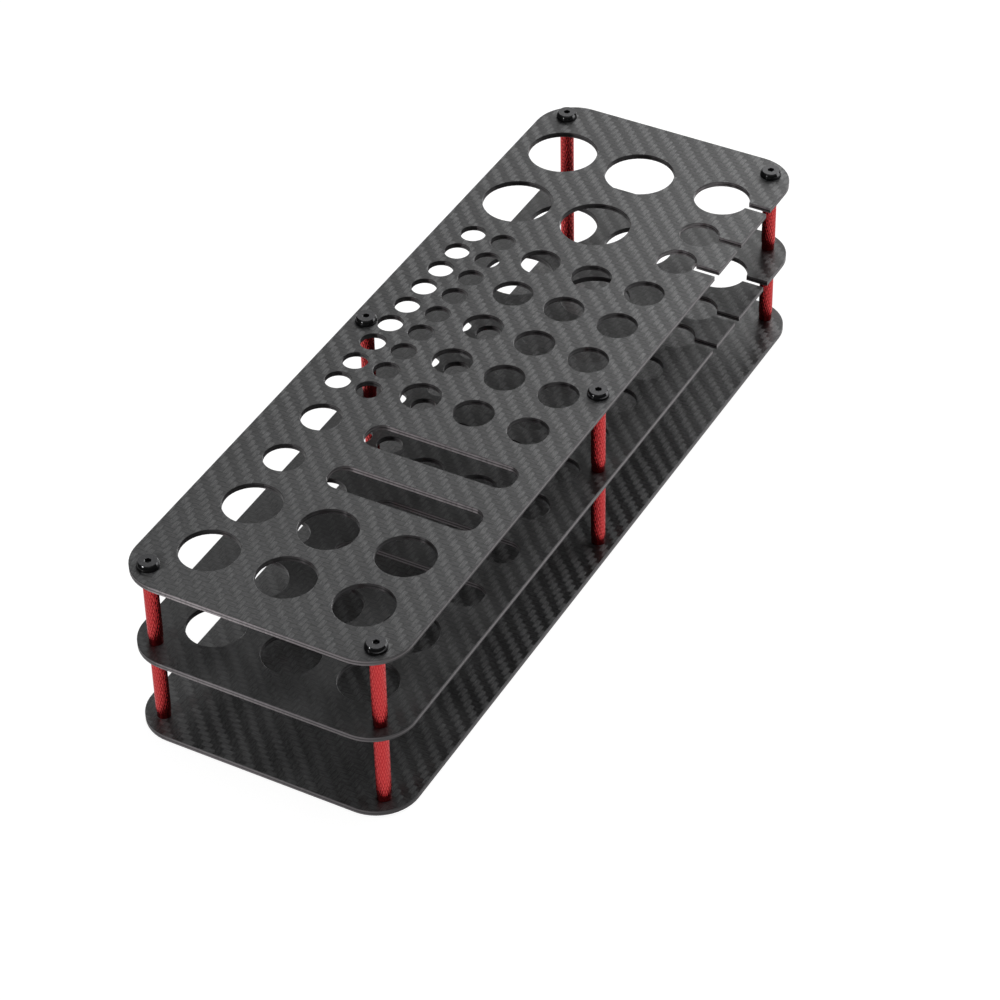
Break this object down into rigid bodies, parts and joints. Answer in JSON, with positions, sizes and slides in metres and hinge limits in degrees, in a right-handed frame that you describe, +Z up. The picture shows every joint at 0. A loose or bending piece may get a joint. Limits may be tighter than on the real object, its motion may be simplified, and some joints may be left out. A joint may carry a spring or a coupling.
{
  "type": "hobby workstation organizer",
  "caption": "Three-deck desktop tool rack: two perforated carbon fibre decks over a solid base deck, held apart by round red posts and black screws.",
  "frame": {"origin": "centre of the footprint, on the surface that the feet stand on", "axes": "+X across to the right, +Y to the back along the long side, +Z up"},
  "size_m": [0.1, 0.3, 0.069],
  "materials": {
    "top_carbon": "clear-coated carbon fibre twill, satin gloss",
    "middle_carbon": "clear-coated carbon fibre twill, satin gloss",
    "base_carbon": "clear-coated carbon fibre twill, satin gloss",
    "red_anodised": "knurled, red anodised",
    "black_steel": "black oxide, glossy",
    "plain_steel": "plain zinc plated"
  },
  "bodies": {
    "root": {"base_deck": "base_carbon", "middle_deck": "middle_carbon", "top_deck": "top_carbon", "lower_post_front_left": "red_anodised", "lower_post_front_right": "red_anodised", "lower_post_middle_left": "red_anodised", "lower_post_middle_right": "red_anodised", "lower_post_back_left": "red_anodised", "lower_post_back_right": "red_anodised", "upper_post_front_left": "red_anodised", "upper_post_front_right": "red_anodised", "upper_post_middle_left": "red_anodised", "upper_post_middle_right": "red_anodised", "upper_post_back_left": "red_anodised", "upper_post_back_right": "red_anodised", "stud_front_left": "plain_steel", "stud_front_right": "plain_steel", "stud_middle_left": "plain_steel", "stud_middle_right": "plain_steel", "stud_back_left": "plain_steel", "stud_back_right": "plain_steel", "top_screw_front_left": "black_steel", "top_screw_front_right": "black_steel", "top_screw_middle_left": "black_steel", "top_screw_middle_right": "black_steel", "top_screw_back_left": "black_steel", "top_screw_back_right": "black_steel", "base_screw_front_left": "black_steel", "base_screw_front_right": "black_steel", "base_screw_middle_left": "black_steel", "base_screw_middle_right": "black_steel", "base_screw_back_left": "black_steel", "base_screw_back_right": "black_steel"}
  },
  "joints": []
}
